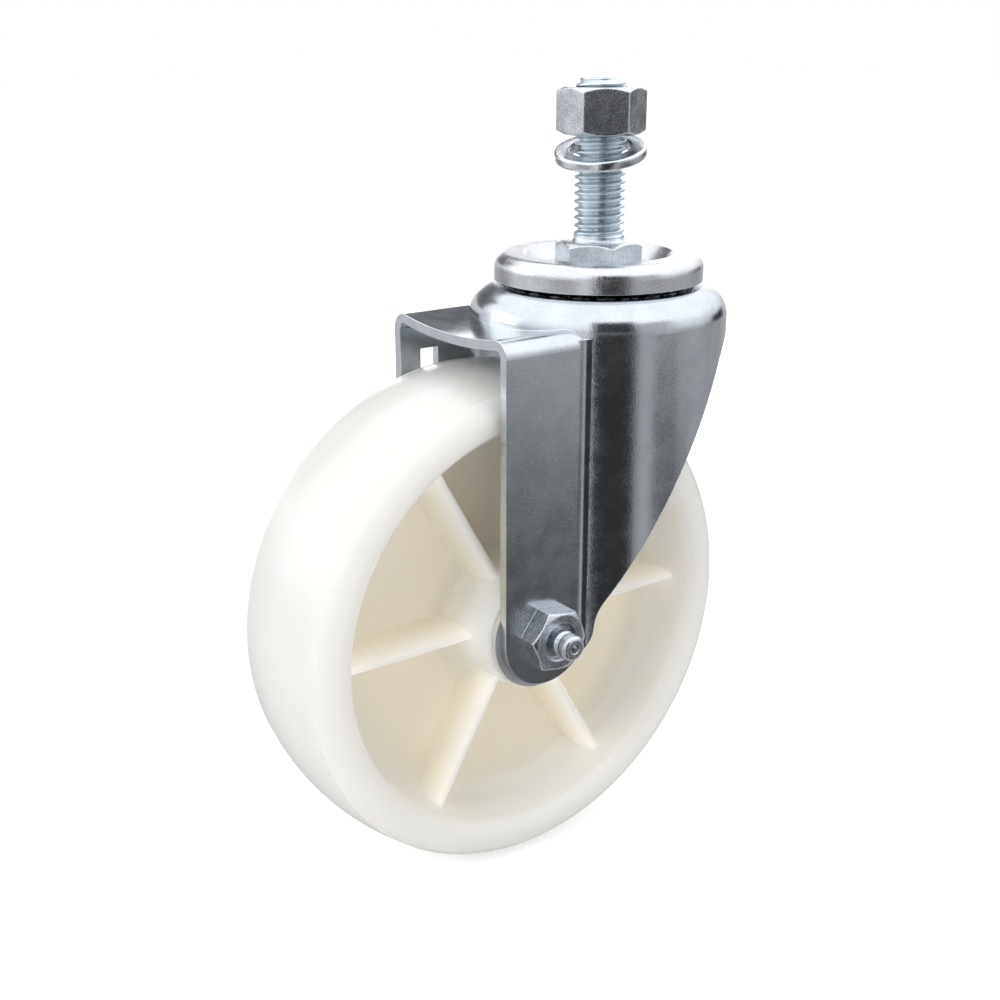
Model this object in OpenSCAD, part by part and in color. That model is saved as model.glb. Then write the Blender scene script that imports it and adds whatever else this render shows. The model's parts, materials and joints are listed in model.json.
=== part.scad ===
// Swivel castor with a threaded stem, a pressed steel fork and a moulded wheel.
// Origin: on the swivel axis, at the collar's top face, where the castor bears on its carrier.
// +Z runs up the stem. The wheel trails to -X, and its axle lies along Y.

/* [Wheel] */
// Diameter of the wheel over its crowned tread
wheel_d = 127; // [118:0.5:131]
// Width of the wheel over its rounded shoulders
wheel_w = 39.2; // [34:0.2:39.6]
// Radius of the rounding from the tread to the side
shoulder_r = 5.2; // [4.6:0.1:5.6]
// Depth from the tread's crown to the middle of that rounding
shoulder_depth = 7.1; // [6.6:0.1:8]
// Diameter of the lip where the side face drops into the recess
lip_d = 103.8; // [98:0.2:105]
// Thickness of the web in the middle of the wheel
web_t = 7; // [5:0.5:10]
// Radius where the web turns up into the rim
web_fillet_r = 9; // [5:0.5:11]
// Slope of the recess wall under the lip, in degrees
rim_draft = 14; // [5:1:20]
// Diameter of the hub's end face
hub_face_d = 29.6; // [28:0.2:32]
// Slope of the hub's flank, in degrees
hub_draft = 9; // [4:1:14]
// Radius where the web turns up into the hub
hub_fillet_r = 6; // [3:0.5:8]
// Number of ribs on each side of the web
rib_count = 6; // [4:1:8]
// Thickness of a rib at its crest
rib_crest_t = 1.8; // [1.2:0.1:3]
// Thickness of a rib at its foot
rib_foot_t = 9; // [5:0.5:12]
// Width of the wheel across the crests of its ribs
rib_span = 26; // [20:0.5:30]

/* [Bearing] */
// Outer diameter of the sleeve that the fork's legs clamp
sleeve_d = 14.2; // [13:0.1:15]
// Diameter of one bearing roller
roller_d = 3.9; // [3.5:0.1:4.2]
// Length of one bearing roller
roller_l = 32; // [26:0.5:32]
// Number of bearing rollers
roller_count = 11; // [9:1:11]
// Wall of the steel liner pressed into the hub
liner_t = 1.2; // [0.8:0.1:1.4]
// Thickness of the bars and rings of the roller cage
cage_t = 0.8; // [0.6:0.1:0.9]
// Thickness of each thrust washer beside the hub
thrust_t = 1.3; // [1:0.1:1.5]
// Gap between the hub's end face and its thrust washer
hub_gap = 0.3; // [0.25:0.05:0.5]

/* [Fork] */
// Thickness of the pressed sheet
sheet_t = 2.3; // [2:0.1:2.6]
// Distance over the outside of the two legs
leg_span = 46.2; // [45.8:0.1:48]
// Distance from the swivel axis back to the axle
trail = 33.2; // [31:0.2:36]
// Distance from the collar's top face down to the axle
axle_drop = 90.3; // [88:0.1:94]
// Radius of the round lower end of each leg
leg_end_r = 12.8; // [11.5:0.1:14]
// Distance from the collar's top face down to the flat visor
visor_drop = 16.3; // [15.8:0.1:17.5]
// Outer radius of the bend from the visor into each leg
visor_bend_r = 4; // [3.5:0.1:5]
// Depth of the visor's middle below its bends
visor_dish = 1.5; // [0.5:0.1:2]
// Radius of the round bowl under the cap
bowl_r = 32.6; // [31.5:0.1:34]
// Distance from the collar's top face down to the bowl's crown
crown_drop = 10.1; // [9.9:0.1:10.4]
// Radius of the bowl's shoulder
bowl_shoulder_r = 7.6; // [6:0.1:8]
// Radius of the bend from each flat leg out to the bowl
flare_r = 4; // [3:0.1:5]
// Distance from the collar's top face down to the bowl's front edge
skirt_drop = 18.3; // [18:0.1:20]
// Slope of the legs' leading edge, in degrees
edge_slope = 59.5; // [56:0.5:63]
// Distance from the axle to the line of that edge
edge_offset = 9.6; // [8.5:0.1:11]
// Radius where the leading edge runs up into the bowl's front edge
edge_top_r = 22; // [15:1:28]
// Radius where the leading edge runs down into the leg's round end
edge_foot_r = 15; // [10:1:20]
// Width of the slot punched in the far leg
slot_w = 5.3; // [4.5:0.1:7]
// Height of that slot
slot_h = 13; // [10:0.5:16]
// Distance from the collar's top face down to the slot's upper edge
slot_drop = 26.1; // [25:0.1:28]
// Distance from the axle back to the slot's middle
slot_back = 4.2; // [3:0.1:6]

/* [Swivel head] */
// Thickness of the pressed cap
cap_t = 2; // [1.6:0.1:2.1]
// Diameter of the cap over its rim
cap_d = 52.7; // [52.2:0.1:54]
// Distance from the collar's top face down to the ring of the cap
cap_drop = 2.8; // [2.4:0.1:3.2]
// Height of the cap from its rim to its ring
cap_h = 6.4; // [6:0.1:6.5]
// Radius of the rounding round the cap's top
cap_round_r = 3.2; // [2.6:0.1:3.6]
// Diameter of the dish in the cap, at the ring
dish_d = 37.4; // [36:0.2:38]
// Diameter of the flat floor of that dish
dish_floor_d = 31; // [29:0.2:32]
// Depth of the dish
dish_depth = 3.5; // [3.1:0.1:3.6]
// Diameter of an upper ball
upper_ball_d = 5.556; // [5.5:0.002:5.6]
// Diameter of the upper ball circle
upper_pitch_d = 42.6; // [42.2:0.1:42.8]
// Number of upper balls
upper_ball_count = 23; // [18:1:23]
// Diameter of a lower ball
lower_ball_d = 4.762; // [4.7:0.002:4.8]
// Diameter of the lower ball circle
lower_pitch_d = 29; // [28.4:0.1:29.4]
// Number of lower balls
lower_ball_count = 18; // [14:1:18]
// Diameter of the hole in the fork's crown
crown_bore_d = 20; // [18:0.1:21]
// Diameter of the lower race
race_d = 36; // [34.5:0.1:36.4]
// Thickness of the lower race
race_t = 2.6; // [2.2:0.1:3]

/* [Stem] */
// Outer diameter of the threaded stem
stem_d = 12.7; // [12:0.1:13]
// Height of the stem above the collar
stem_l = 38.7; // [37.5:0.1:42]
// Distance across the flats of the collar
collar_af = 19.05; // [18:0.05:20]
// Turn of the collar's hexagon, in degrees
collar_turn = 9; // [0:1:59]
// Distance across the flats of the nut
nut_af = 19.05; // [18:0.05:20]
// Height of the nut
nut_h = 11.1; // [10:0.1:11.5]
// Turn of the nut's hexagon, in degrees
nut_turn = 26; // [0:1:59]
// Height of the stem's end above the nut
nut_inset = 2; // [1.5:0.1:2.5]
// Outer diameter of the spring washer
washer_d = 22.9; // [22:0.1:23.4]
// Hole of the spring washer
washer_bore_d = 14.9; // [14.8:0.1:15.4]
// Thickness of the spring washer
washer_t = 2.6; // [2.2:0.1:2.8]
// Distance from the nut's seat down to the washer's middle
washer_hang = 4.3; // [4.3:0.1:5]
// Tilt of the washer where it hangs on the thread, in degrees
washer_tilt = 15; // [10:1:16]
// Direction in which the washer tilts down, in degrees
washer_lean = 213; // [0:1:359]
// Width of the gap in the spring washer
washer_gap = 1.2; // [0.8:0.1:2]
// Diameter of the riveted foot under the lower race
rivet_d = 18.4; // [16:0.1:20]
// Height of the riveted foot
rivet_h = 2.6; // [2:0.1:3.2]

/* [Axle] */
// Diameter of the axle bolt
axle_d = 9.525; // [9:0.005:9.7]
// Distance across the flats of the axle's head and nut
axle_af = 14.3; // [13.5:0.1:15]
// Height of the axle's head
axle_head_h = 5.6; // [5:0.1:6.5]
// Height of the axle's nut
axle_nut_h = 5.2; // [4.8:0.1:6]
// Depth of the axle's end inside its nut
axle_inset = 1.2; // [0.8:0.1:1.6]
// Turn of the axle nut's hexagon, in degrees
axle_nut_turn = 52; // [0:1:59]
// Turn of the axle head's hexagon, in degrees
axle_head_turn = 15; // [0:1:59]
// Diameter of the grease passage
grease_d = 2.4; // [2:0.1:3]
// Diameter of the grease nipple
nipple_d = 6.4; // [6:0.1:6.6]
// Diameter of the nipple's neck
nipple_neck_d = 5.4; // [4.8:0.1:5.8]
// Diameter of the nipple's stub in the axle
nipple_stub_d = 6; // [5:0.1:6.2]
// Height of the nipple above the axle's end
nipple_h = 6.6; // [6:0.1:7.5]
// Height of the barrel under the nipple's neck
nipple_barrel_h = 2.4; // [2:0.1:2.8]
// Height of the head over the nipple's neck
nipple_head_h = 2.6; // [2.2:0.1:2.8]
// Radius of the rounding of the nipple's head
nipple_round_r = 1.2; // [0.8:0.1:1.4]
// Depth of the nipple's seat in the axle
nipple_seat = 5; // [4:0.1:6]
// Diameter of the check ball in the nipple
check_ball_d = 2.6; // [2.4:0.1:2.8]

/* [Clearances] */
// Radial clearance of a shaft that turns or slides in its hole
run_fit = 0.05; // [0.03:0.01:0.08]
// Radial clearance of a fixed piece in its hole
seat_fit = 0.03; // [0.02:0.01:0.05]

/* [Hidden] */
$fn = 96;

// A cut runs past the surface that it leaves by this much
over = 1;
// Each step of a drawn arc turns by about this many degrees, and by more in the wheel's fillets
arc_step = 5;
fillet_step = 9;
// Half the angle from one corner of a hexagon to the next
hex_half = 30;
// Slope of the chamfer round a nut or a head, and how far inside the flats it starts
hex_chamfer = 30;
hex_chamfer_in = 0.3;

// The visor's dish bites this deep into the bends beside it, so that their surfaces cross
dish_bite = 0.01;

// Fork, measured from the collar's top face
axle_z = -axle_drop;
visor_z = -visor_drop;
crown_z = -crown_drop;
skirt_z = -skirt_drop;
leg_y = leg_span / 2;
gap_y = leg_y - sheet_t;
back_x = trail + leg_end_r;

// Wheel, measured round its own axis
wheel_r = wheel_d / 2;
half_w = wheel_w / 2;
lip_r = lip_d / 2;
shoulder_at = wheel_r - shoulder_depth;
shoulder_y = half_w - shoulder_r;
crown_arc_r = (pow(shoulder_depth, 2) + pow(shoulder_y, 2) - pow(shoulder_r, 2))
    / (2 * (shoulder_depth - shoulder_r));
crown_arc_at = wheel_r - crown_arc_r;
blend_y = crown_arc_r * shoulder_y / (crown_arc_r - shoulder_r);
lip_y = shoulder_y + sqrt(pow(shoulder_r, 2) - pow(shoulder_at - lip_r, 2));
hub_y = gap_y - thrust_t - hub_gap;
hub_r = hub_face_d / 2;
web_y = web_t / 2;

// Bearing, from the sleeve outwards
sleeve_r = sleeve_d / 2;
roller_at = sleeve_r + run_fit + roller_d / 2;
liner_in_r = roller_at + roller_d / 2 + run_fit;
liner_out_r = liner_in_r + liner_t;
cage_gap = 0.4;
cage_bar_w = 2;
roller_step = 360 / roller_count;
// Each ring of the cage takes half the space between the rollers' ends and the thrust washer
cage_ring_at = roller_l / 2 + run_fit;
cage_ring_w = (gap_y - thrust_t - cage_ring_at) / 2;

// Swivel head, from the cap's ring downwards
stem_r = stem_d / 2;
ring_z = -cap_drop;
rim_z = ring_z - cap_h;
floor_z = ring_z - dish_depth;
upper_z = ring_z - cap_t - run_fit - upper_ball_d / 2;
track_r = upper_ball_d / 2 + run_fit;
lower_track_r = lower_ball_d / 2 + run_fit;
lower_sink = 0.5;
lower_z = crown_z - sheet_t + lower_sink - lower_track_r;
race_sink = 0.6;
race_top_z = lower_z - lower_track_r + race_sink;
race_z = race_top_z - race_t;
race_wall_h = 2;
race_wall_t = 1.3;

// Nut and washer, from the stem's end downwards
nut_z = stem_l - nut_inset - nut_h;
washer_z = nut_z - washer_hang;
stem_chamfer = 1;
// Groove of the one thread turn in which the washer's lower edge hangs
turn_pitch = 1.954;
turn_flank = 30;
turn_depth = 17 / 24 * turn_pitch * cos(turn_flank);
turn_z = washer_z - washer_d / 2 * sin(washer_tilt) - washer_t / 2 + turn_pitch / 2;

// Axle, measured along Y
axle_r = axle_d / 2;
axle_end_y = leg_y + axle_nut_h - axle_inset;
sleeve_bore_r = axle_r + 2 * run_fit;
thrust_inset = 0.5;
bolt_clear = 0.3;

// Nipple, measured up from the axle's end; its lip holds the check ball in
grease_r = grease_d / 2;
nipple_r = nipple_d / 2;
nipple_neck_r = nipple_neck_d / 2;
nipple_stub_r = nipple_stub_d / 2;
nipple_lip_in = 0.15;
nipple_lip_h = 0.5;
nipple_mouth_r = check_ball_d / 2 - nipple_lip_in;
check_seat_r = check_ball_d / 2 + run_fit;
check_ball_z = nipple_h - nipple_lip_h - run_fit
    - sqrt(pow(check_ball_d / 2, 2) - pow(nipple_mouth_r, 2));

// The flank of a rib follows this power of a sine, in this many steps
rib_sweep = 0.7;
rib_steps = 6;

zinc = [0.70, 0.73, 0.77];
bright_zinc = [0.80, 0.82, 0.85];
bearing_steel = [0.62, 0.63, 0.65];
white_nylon = [0.93, 0.92, 0.88];

// A hexagonal prism with its corners chamfered at the ends that are asked for
module hex_block(af, h, low = true, high = true) {
    corner_r = af / 2 / cos(hex_half);
    face_r = af / 2 - hex_chamfer_in;
    past_r = corner_r + over;
    drop = (past_r - face_r) * tan(hex_chamfer);
    intersection() {
        cylinder(h = h, r = corner_r, $fn = 6);
        rotate_extrude()
            polygon(concat(
                [[0, 0]],
                low ? [[face_r, 0], [past_r, drop]] : [[past_r, 0]],
                high ? [[past_r, h - drop], [face_r, h]] : [[past_r, h]],
                [[0, h]]
            ));
    }
}

// A flat ring that lies on Z = 0
module ring(outer_d, inner_d, h) {
    difference() {
        cylinder(h = h, d = outer_d);
        translate([0, 0, -over]) cylinder(h = h + 2 * over, d = inner_d);
    }
}

// Turns a piece made along +Z so that it lies along +Y on the axle
module on_axle() {
    translate([-trail, 0, axle_z]) rotate([-90, 0, 0]) children();
}

// The stem, its collar, the kingpin through the head and the riveted foot are one turned piece
module threaded_stem() {
    collar_h = -floor_z;
    color(bright_zinc) {
        difference() {
            union() {
                translate([0, 0, floor_z]) rotate(collar_turn) hex_block(collar_af, collar_h, low = false);
                rotate_extrude()
                    polygon([
                        [0, race_z], [stem_r, race_z], [stem_r, stem_l - stem_chamfer],
                        [stem_r - stem_chamfer, stem_l], [0, stem_l]
                    ]);
                riveted_foot();
            }
            thread_turn();
        }
    }
}

module thread_turn() {
    root = turn_pitch / 16;
    mouth = root + (turn_depth + over) * tan(turn_flank);
    translate([0, 0, turn_z])
        rotate_extrude()
            polygon([
                [stem_r - turn_depth, -root], [stem_r + over, -mouth],
                [stem_r + over, mouth], [stem_r - turn_depth, root]
            ]);
}

module riveted_foot() {
    foot_r = rivet_d / 2;
    dome_r = (pow(foot_r, 2) + pow(rivet_h, 2)) / (2 * rivet_h);
    intersection() {
        translate([0, 0, race_z - rivet_h + dome_r]) sphere(r = dome_r);
        translate([0, 0, race_z - rivet_h - over]) cylinder(h = rivet_h + over, r = foot_r + over);
    }
}

// Pressed cap: dished middle under the collar, raised ring over the balls, skirt down to the rim
module cap_profile(grow) {
    outer_r = cap_d / 2 + grow;
    round_r = cap_round_r + grow;
    top = ring_z + grow;
    slope = (dish_d - dish_floor_d) / 2 / dish_depth;
    lean = grow * (sqrt(1 + slope * slope) - slope);
    dish_r = dish_d / 2 - lean;
    deep_r = dish_floor_d / 2 - lean;
    low = rim_z - over;
    polygon([
        [0, low], [outer_r, low], [outer_r, top - round_r], [outer_r - round_r, top],
        [dish_r, top], [deep_r, floor_z + grow], [0, floor_z + grow]
    ]);
    intersection() {
        translate([outer_r - round_r, top - round_r]) circle(r = round_r);
        translate([outer_r - round_r, top - round_r]) square(round_r);
    }
}

module top_cap() {
    color(zinc)
        rotate_extrude()
            difference() {
                cap_profile(0);
                cap_profile(-cap_t);
                translate([-over, rim_z - 2 * over]) square([cap_d, 2 * over]);
                translate([-over, rim_z - 2 * over]) square([stem_r + seat_fit + over, cap_h + 4 * over]);
            }
}

// Lower race: a cup riveted to the kingpin that holds the lower balls up against the crown
module lower_race() {
    race_r = race_d / 2;
    color(zinc)
        rotate_extrude()
            difference() {
                union() {
                    translate([stem_r + seat_fit, race_z]) square([race_r - stem_r - seat_fit, race_t]);
                    translate([race_r - race_wall_t, race_z]) square([race_wall_t, race_t + race_wall_h]);
                }
                translate([lower_pitch_d / 2, lower_z]) circle(r = lower_track_r);
            }
}

module stem_nut() {
    color(bright_zinc)
        translate([0, 0, nut_z])
            difference() {
                rotate(nut_turn) hex_block(nut_af, nut_h);
                translate([0, 0, -over]) cylinder(h = nut_h + 2 * over, r = stem_r + run_fit);
            }
}

// Split washer that hangs tilted on the thread, its gap away from the low side
module spring_washer() {
    color(zinc)
        translate([0, 0, washer_z])
            rotate([0, 0, washer_lean])
                rotate([0, washer_tilt, 0])
                    difference() {
                        translate([0, 0, -washer_t / 2]) ring(washer_d, washer_bore_d, washer_t);
                        translate([-washer_d, -washer_gap / 2, -washer_t])
                            cube([washer_d, washer_gap, 2 * washer_t]);
                    }
}

module ball_ring(count, ball_d, pitch_d, z) {
    for (i = [0 : count - 1])
        rotate(i * 360 / count)
            translate([pitch_d / 2, 0, z])
                sphere(d = ball_d, $fn = 24);
}

module upper_balls() {
    color(bearing_steel) ball_ring(upper_ball_count, upper_ball_d, upper_pitch_d, upper_z);
}

module lower_balls() {
    color(bearing_steel) ball_ring(lower_ball_count, lower_ball_d, lower_pitch_d, lower_z);
}

// Channel of the dished visor and the legs; grow is 0 for its outside and -sheet_t for its inside
module channel(grow) {
    half = leg_y + grow;
    bend = visor_bend_r + grow;
    bend_y = half - bend;
    top = visor_z + grow;
    low = axle_z - leg_end_r - 2 * over;
    past = grow < 0 ? 2 * over : 0;
    reach = (pow(bend_y, 2) + pow(visor_dish, 2)) / (2 * visor_dish);
    dish_r = reach - visor_bend_r;
    translate([-back_x - past, 0, 0])
        rotate([90, 0, 90])
            linear_extrude(back_x + past)
                difference() {
                    union() {
                        translate([-half, low]) square([2 * half, top - bend - low]);
                        translate([-bend_y * dish_r / reach, low])
                            square([2 * bend_y * dish_r / reach, top - low]);
                        for (side = [-1, 1])
                            translate([side * bend_y, top - bend]) circle(r = bend);
                    }
                    translate([0, visor_z - visor_dish - dish_bite + dish_r])
                        circle(r = dish_r - grow, $fn = 360);
                }
}

// Round bowl under the crown, with its rounded shoulder
module bowl(grow) {
    outer = bowl_r + grow;
    bend = bowl_shoulder_r + grow;
    top = crown_z + grow;
    low = axle_z - leg_end_r - 2 * over;
    rotate_extrude() {
        translate([0, low]) square([outer, top - bend - low]);
        translate([0, low]) square([outer - bend, top - low]);
        intersection() {
            translate([outer - bend, top - bend]) circle(r = bend);
            translate([0, low]) square([bowl_r + over, top - low]);
        }
    }
}

// Hollow bend that leads each flat leg out to the bowl
module flares(grow) {
    centre_y = leg_y + flare_r;
    centre_x = -sqrt(pow(bowl_r + flare_r, 2) - pow(centre_y, 2));
    bend = flare_r - grow;
    part = (bowl_r + grow) / (bowl_r + flare_r);
    low = axle_z - leg_end_r - 2 * over;
    top = visor_z - visor_bend_r / 2 + grow;
    inner_y = leg_y + grow - over;
    for (side = [-1, 1])
        translate([0, 0, low])
            linear_extrude(top - low)
                difference() {
                    polygon([
                        [centre_x, side * centre_y], [centre_x, side * inner_y],
                        [part * centre_x + over, side * inner_y], [part * centre_x, side * part * centre_y]
                    ]);
                    translate([centre_x, side * centre_y]) circle(r = bend);
                }
}

// Points of an arc, with both ends
function arc(centre, r, from, to, step = arc_step) =
    let (steps = ceil(abs(to - from) / step))
    [for (i = [0 : steps])
        let (turn = from + (to - from) * i / steps)
        centre + r * [cos(turn), sin(turn)]];

// Side view of the fork: round leg ends, raked leading edge and the bowl's level front edge
module side_outline() {
    rake = [cos(edge_slope), sin(edge_slope)];
    out = [sin(edge_slope), -cos(edge_slope)];
    axle = [-trail, axle_z];
    foot = axle + out * edge_offset;
    corner = foot + rake * (skirt_z - foot[1]) / rake[1];
    reach = edge_top_r * tan(edge_slope / 2);
    top_centre = corner + [reach, -edge_top_r];
    along = sqrt(pow(leg_end_r + edge_foot_r, 2) - pow(edge_offset + edge_foot_r, 2));
    foot_centre = axle + out * (edge_offset + edge_foot_r) + rake * along;
    meet = atan2(foot_centre[1] - axle[1], foot_centre[0] - axle[0]);
    front_x = max(bowl_r, top_centre[0]) + over;
    polygon(concat(
        arc(axle, leg_end_r, 180, 360 + meet),
        arc(foot_centre, edge_foot_r, 180 + meet, 90 + edge_slope),
        arc(top_centre, edge_top_r, 90 + edge_slope, 90),
        [[front_x, skirt_z], [front_x, over], [-back_x, over]]
    ));
}

module fork() {
    color(zinc)
        difference() {
            intersection() {
                union() {
                    difference() {
                        union() {
                            channel(0);
                            bowl(0);
                            flares(0);
                        }
                        channel(-sheet_t);
                        bowl(-sheet_t);
                        flares(-sheet_t);
                    }
                    raised_tracks();
                }
                translate([0, leg_span, 0]) rotate([90, 0, 0]) linear_extrude(2 * leg_span) side_outline();
            }
            track(upper_pitch_d, upper_z, track_r);
            track(lower_pitch_d, lower_z, lower_track_r);
            translate([0, 0, crown_z - 4 * sheet_t]) cylinder(h = 8 * sheet_t, d = crown_bore_d);
            on_axle() translate([0, 0, -leg_span]) cylinder(h = 2 * leg_span, r = axle_r + run_fit);
            bolt_seats();
            leg_slot();
        }
}

// Ring-shaped groove in which a circle of balls runs
module track(pitch_d, z, r) {
    rotate_extrude() translate([pitch_d / 2, z]) circle(r = r);
}

// The sheet keeps its thickness under and over the pressed ball tracks
module raised_tracks() {
    rotate_extrude() {
        intersection() {
            translate([upper_pitch_d / 2, upper_z]) circle(r = track_r + sheet_t);
            translate([0, crown_z - 2 * sheet_t]) square([bowl_r, 1.5 * sheet_t]);
        }
        intersection() {
            translate([lower_pitch_d / 2, lower_z]) circle(r = lower_track_r + sheet_t);
            translate([0, crown_z - sheet_t / 2]) square([bowl_r, sheet_t]);
        }
    }
}

// Keeps the legs flat under the axle's head and nut where a wide bowl's flares would reach them
module bolt_seats() {
    corner_r = axle_af / 2 / cos(hex_half);
    on_axle()
        for (flip = [0, 1])
            mirror([0, 0, flip])
                translate([0, 0, leg_y + seat_fit]) cylinder(h = leg_y, r = corner_r + bolt_clear);
}

module leg_slot() {
    translate([-trail - slot_back - slot_w / 2, leg_y - 2 * sheet_t, -slot_drop - slot_h])
        cube([slot_w, 4 * sheet_t, slot_h]);
}

// Hollow axle bolt with its head on the far leg and a seat for the nipple in its near end
module axle_bolt() {
    color(bright_zinc)
        on_axle()
            difference() {
                union() {
                    translate([0, 0, -axle_end_y]) cylinder(h = axle_end_y + leg_y, r = axle_r);
                    translate([0, 0, leg_y])
                        rotate(axle_head_turn)
                            hex_block(axle_af, axle_head_h, low = false);
                }
                translate([0, 0, -axle_end_y - over]) cylinder(h = axle_end_y + over, r = grease_r);
                translate([0, 0, -axle_end_y - over])
                    cylinder(h = nipple_seat + over, r = nipple_stub_r + seat_fit);
                rotate([0, 90, 0]) translate([0, 0, -axle_d]) cylinder(h = 2 * axle_d, r = grease_r);
            }
}

module axle_nut() {
    color(bright_zinc)
        on_axle()
            translate([0, 0, -leg_y - axle_nut_h])
                difference() {
                    rotate(-axle_nut_turn) hex_block(axle_af, axle_nut_h, high = false);
                    translate([0, 0, -over]) cylinder(h = axle_nut_h + 2 * over, r = axle_r + seat_fit);
                }
}

// Straight drive-in grease nipple: stub, barrel, neck and a rounded head round the check ball
module grease_nipple() {
    taper = nipple_r - nipple_neck_r;
    round_at = [nipple_r - nipple_round_r, nipple_h - nipple_round_r];
    head_z = nipple_h - nipple_head_h;
    pocket_z = check_ball_z - check_ball_d / 2 - over;
    color(bright_zinc)
        on_axle()
            translate([0, 0, -axle_end_y])
                mirror([0, 0, 1])
                    rotate_extrude()
                        polygon(concat(
                            [
                                [grease_r, seat_fit - nipple_seat], [nipple_stub_r, seat_fit - nipple_seat],
                                [nipple_stub_r, seat_fit], [nipple_r, seat_fit], [nipple_r, nipple_barrel_h],
                                [nipple_neck_r, nipple_barrel_h + taper], [nipple_neck_r, head_z - taper],
                                [nipple_r, head_z]
                            ],
                            arc(round_at, nipple_round_r, 0, 90),
                            [
                                [nipple_mouth_r, nipple_h], [nipple_mouth_r, nipple_h - nipple_lip_h],
                                [check_seat_r, nipple_h - nipple_lip_h], [check_seat_r, pocket_z],
                                [grease_r, pocket_z]
                            ]
                        ));
}

module check_ball() {
    color(bearing_steel)
        on_axle()
            translate([0, 0, -axle_end_y - check_ball_z])
                sphere(d = check_ball_d, $fn = 24);
}

// Sleeve that the two legs clamp; the rollers run round it
module axle_sleeve() {
    color(bearing_steel)
        on_axle() translate([0, 0, -gap_y]) ring(2 * sleeve_r, 2 * sleeve_bore_r, 2 * gap_y);
}

module thrust_washer(side) {
    start = side < 0 ? -gap_y : gap_y - thrust_t;
    outer_r = hub_r - thrust_inset;
    bore_r = sleeve_r + 2 * run_fit;
    color(zinc)
        on_axle() translate([0, 0, start]) ring(2 * outer_r, 2 * bore_r, thrust_t);
}

module thrust_washer_near() {
    thrust_washer(-1);
}

module thrust_washer_far() {
    thrust_washer(1);
}

module bearing_rollers() {
    color(bearing_steel)
        on_axle()
            for (i = [0 : roller_count - 1])
                rotate(i * roller_step)
                    translate([roller_at, 0, -roller_l / 2])
                        cylinder(h = roller_l, d = roller_d, $fn = 32);
}

// Cage: a ring past each end of the rollers, joined by one bar in each gap between them
module roller_cage() {
    ring_in = sleeve_r + cage_gap;
    ring_out = liner_in_r - cage_gap;
    color(zinc)
        on_axle() {
            for (end = [-cage_ring_at - cage_ring_w, cage_ring_at])
                translate([0, 0, end]) ring(2 * ring_out, 2 * ring_in, cage_ring_w);
            for (i = [0 : roller_count - 1])
                rotate((i + 0.5) * roller_step)
                    translate([roller_at - cage_bar_w / 2, -cage_t / 2, -cage_ring_at - cage_ring_w / 2])
                        cube([cage_bar_w, cage_t, 2 * cage_ring_at + cage_ring_w]);
        }
}

// Section of the tread and its rounded shoulders, out from the hub; the wide crown arc has more sides
module tyre_section() {
    web_h = shoulder_y + lip_y;
    intersection() {
        translate([crown_arc_at, 0]) circle(r = crown_arc_r, $fn = 360);
        translate([hub_r, -blend_y]) square([wheel_r, 2 * blend_y]);
    }
    for (side = [-1, 1])
        translate([shoulder_at, side * shoulder_y]) circle(r = shoulder_r);
    translate([hub_r, -web_h / 2]) square([shoulder_at - hub_r, web_h]);
}

// Half of the recess in one side: down the hub's flank, over the web and up the rim to the lip
module recess_section() {
    deep = lip_y - web_y;
    top = half_w + 2 * over;
    hub_out = hub_r + tan(hub_draft) * (hub_y - web_y);
    hub_run = hub_fillet_r * tan((90 - hub_draft) / 2);
    wall_in = lip_r - tan(rim_draft) * deep;
    rim_run = web_fillet_r * tan((90 - rim_draft) / 2);
    hub_centre = [hub_out + hub_run, web_y + hub_fillet_r];
    rim_centre = [wall_in - rim_run, web_y + web_fillet_r];
    polygon(concat(
        [[hub_r - tan(hub_draft) * (top - hub_y), top]],
        arc(hub_centre, hub_fillet_r, 180 + hub_draft, 270, fillet_step),
        arc(rim_centre, web_fillet_r, 270, 360 - rim_draft, fillet_step),
        [[lip_r + tan(rim_draft) * (top - lip_y), top]]
    ));
}

module wheel() {
    color(white_nylon)
        on_axle()
            difference() {
                union() {
                    difference() {
                        rotate_extrude() tyre_section();
                        for (flip = [0, 1])
                            mirror([0, 0, flip]) rotate_extrude() recess_section();
                    }
                    translate([0, 0, -hub_y]) cylinder(h = 2 * hub_y, r = hub_r);
                    for (flip = [0, 1])
                        mirror([0, 0, flip]) ribs();
                }
                translate([0, 0, -wheel_w]) cylinder(h = 2 * wheel_w, r = liner_out_r + seat_fit);
            }
}

// Ribs from the hub to the rim, with flanks that sweep out to a wide foot on the web
module ribs() {
    crest_y = rib_span / 2;
    flank = [for (i = [0 : rib_steps])
        let (part = i / rib_steps)
        [(rib_foot_t + (rib_crest_t - rib_foot_t) * pow(sin(90 * part), rib_sweep)) / 2, crest_y * part]];
    for (i = [0 : rib_count - 1])
        rotate(i * 360 / rib_count)
            translate([hub_r - over, 0, 0])
                rotate([90, 0, 90])
                    linear_extrude(lip_r - hub_r + over)
                        polygon(concat(
                            flank,
                            [for (k = [0 : rib_steps]) [-flank[rib_steps - k][0], flank[rib_steps - k][1]]]
                        ));
}

module hub_liner() {
    color(bearing_steel)
        on_axle() translate([0, 0, -hub_y]) ring(2 * liner_out_r, 2 * liner_in_r, 2 * hub_y);
}

threaded_stem();
top_cap();
lower_race();
stem_nut();
spring_washer();
upper_balls();
lower_balls();
fork();
axle_bolt();
axle_nut();
grease_nipple();
check_ball();
axle_sleeve();
thrust_washer_near();
thrust_washer_far();
bearing_rollers();
roller_cage();
wheel();
hub_liner();
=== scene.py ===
"""Swivel castor with a threaded stem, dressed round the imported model.

Everything is in metres in the model's own frame: the origin is on the swivel axis at the top face
of the stem's collar, +Z runs up the stem, the wheel trails to -X and its axle lies along Y.
Angles that are held as sizes, such as drafts and tilts, are in degrees.
"""
from __future__ import annotations

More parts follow.
